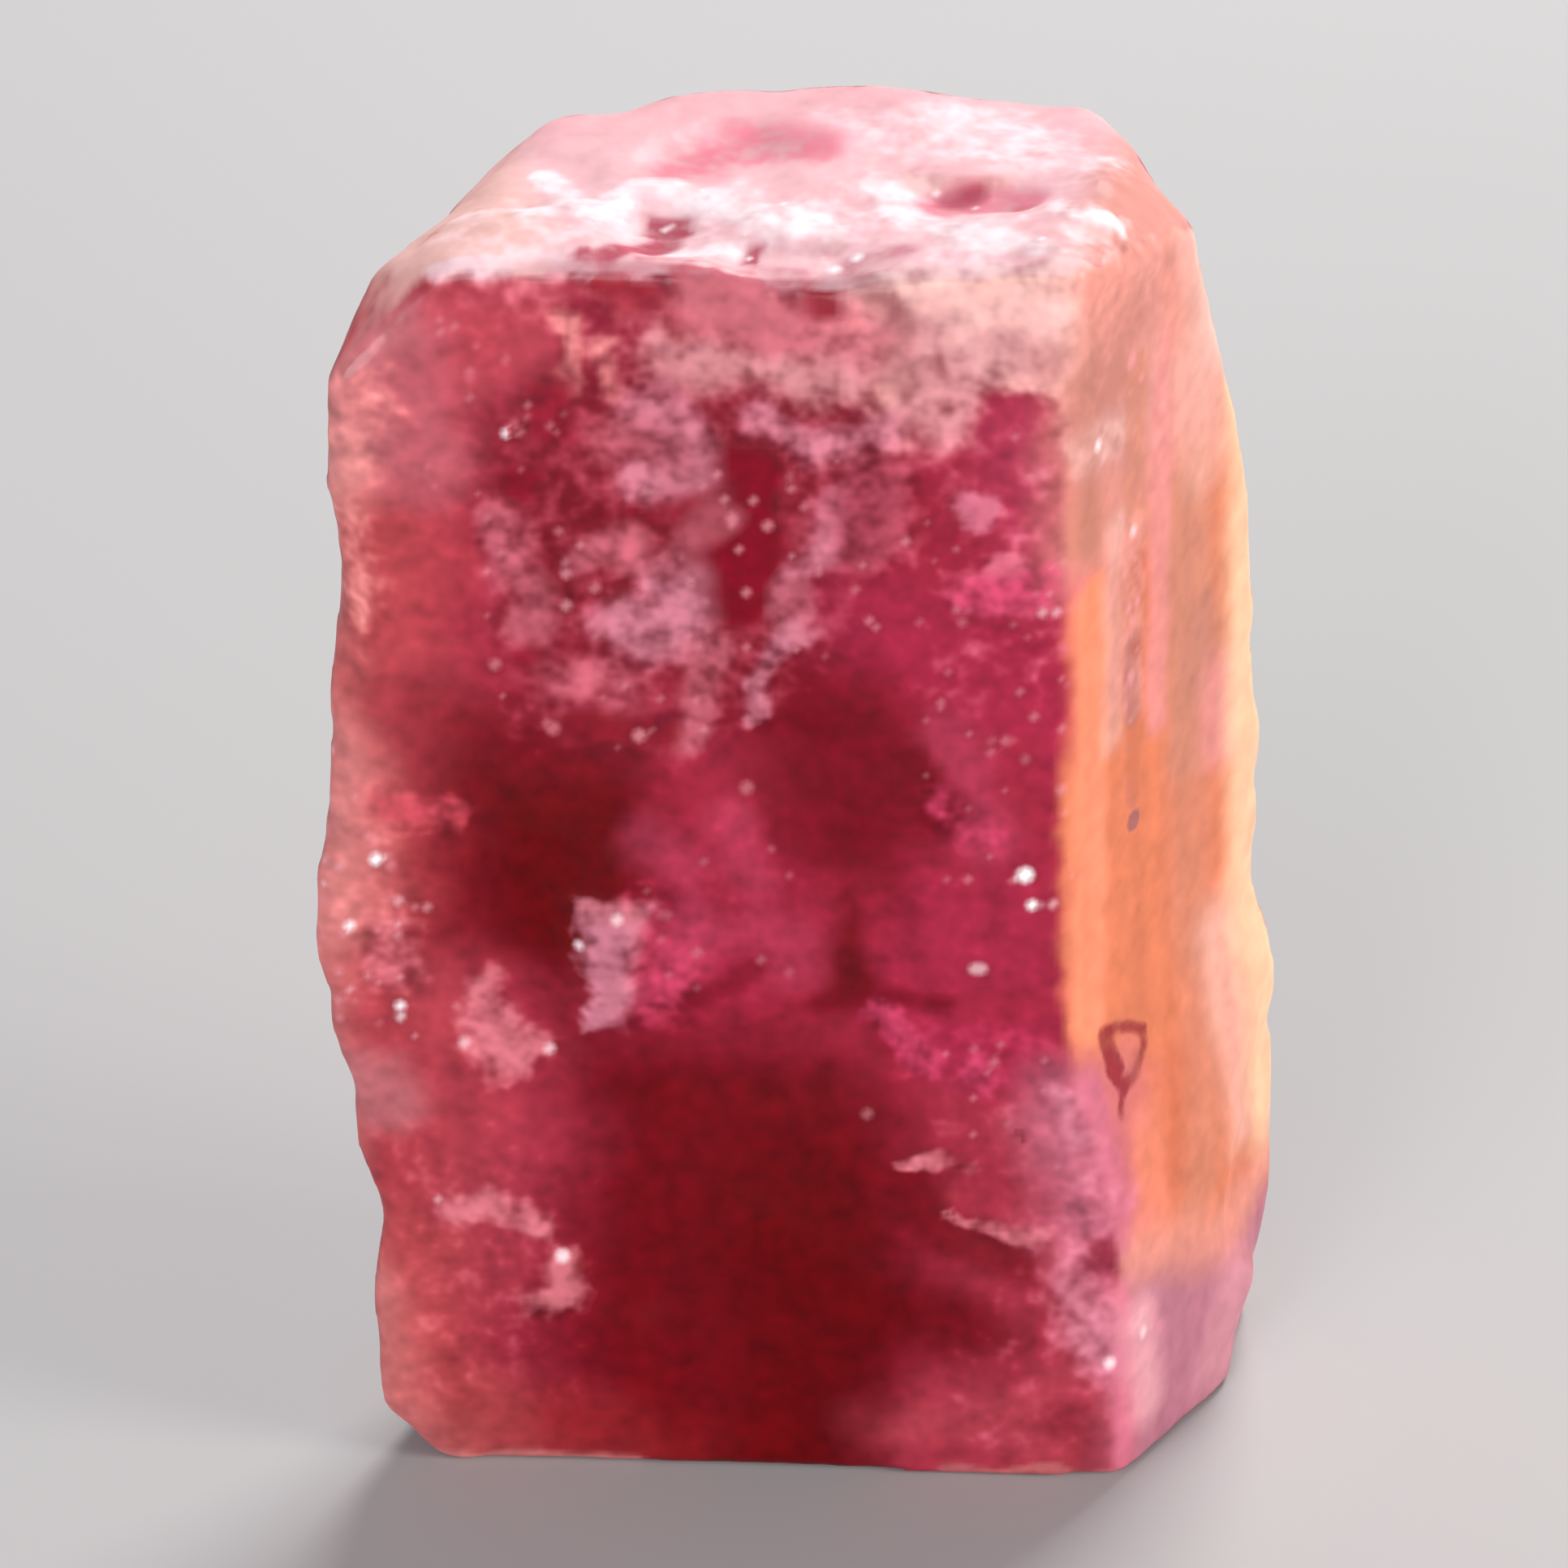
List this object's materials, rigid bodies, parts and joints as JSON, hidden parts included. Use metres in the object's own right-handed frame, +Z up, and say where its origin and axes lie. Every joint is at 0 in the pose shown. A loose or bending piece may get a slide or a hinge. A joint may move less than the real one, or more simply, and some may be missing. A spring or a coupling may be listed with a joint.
{
  "type": "red beryl crystal",
  "caption": "Flattened six-sided crystal of raspberry-red beryl with a frosted, pitted top, worn edges and a flat base that it stands on.",
  "frame": {"origin": "on the flat base, under the middle of the crystal's box", "axes": "+Z up along the crystal's length, -Y out of its widest face, +X towards its smooth orange side face"},
  "size_m": [0.0082, 0.0036, 0.0121],
  "materials": {
    "red_beryl": "satin"
  },
  "bodies": {
    "root": {"beryl_crystal": "red_beryl"}
  },
  "joints": []
}
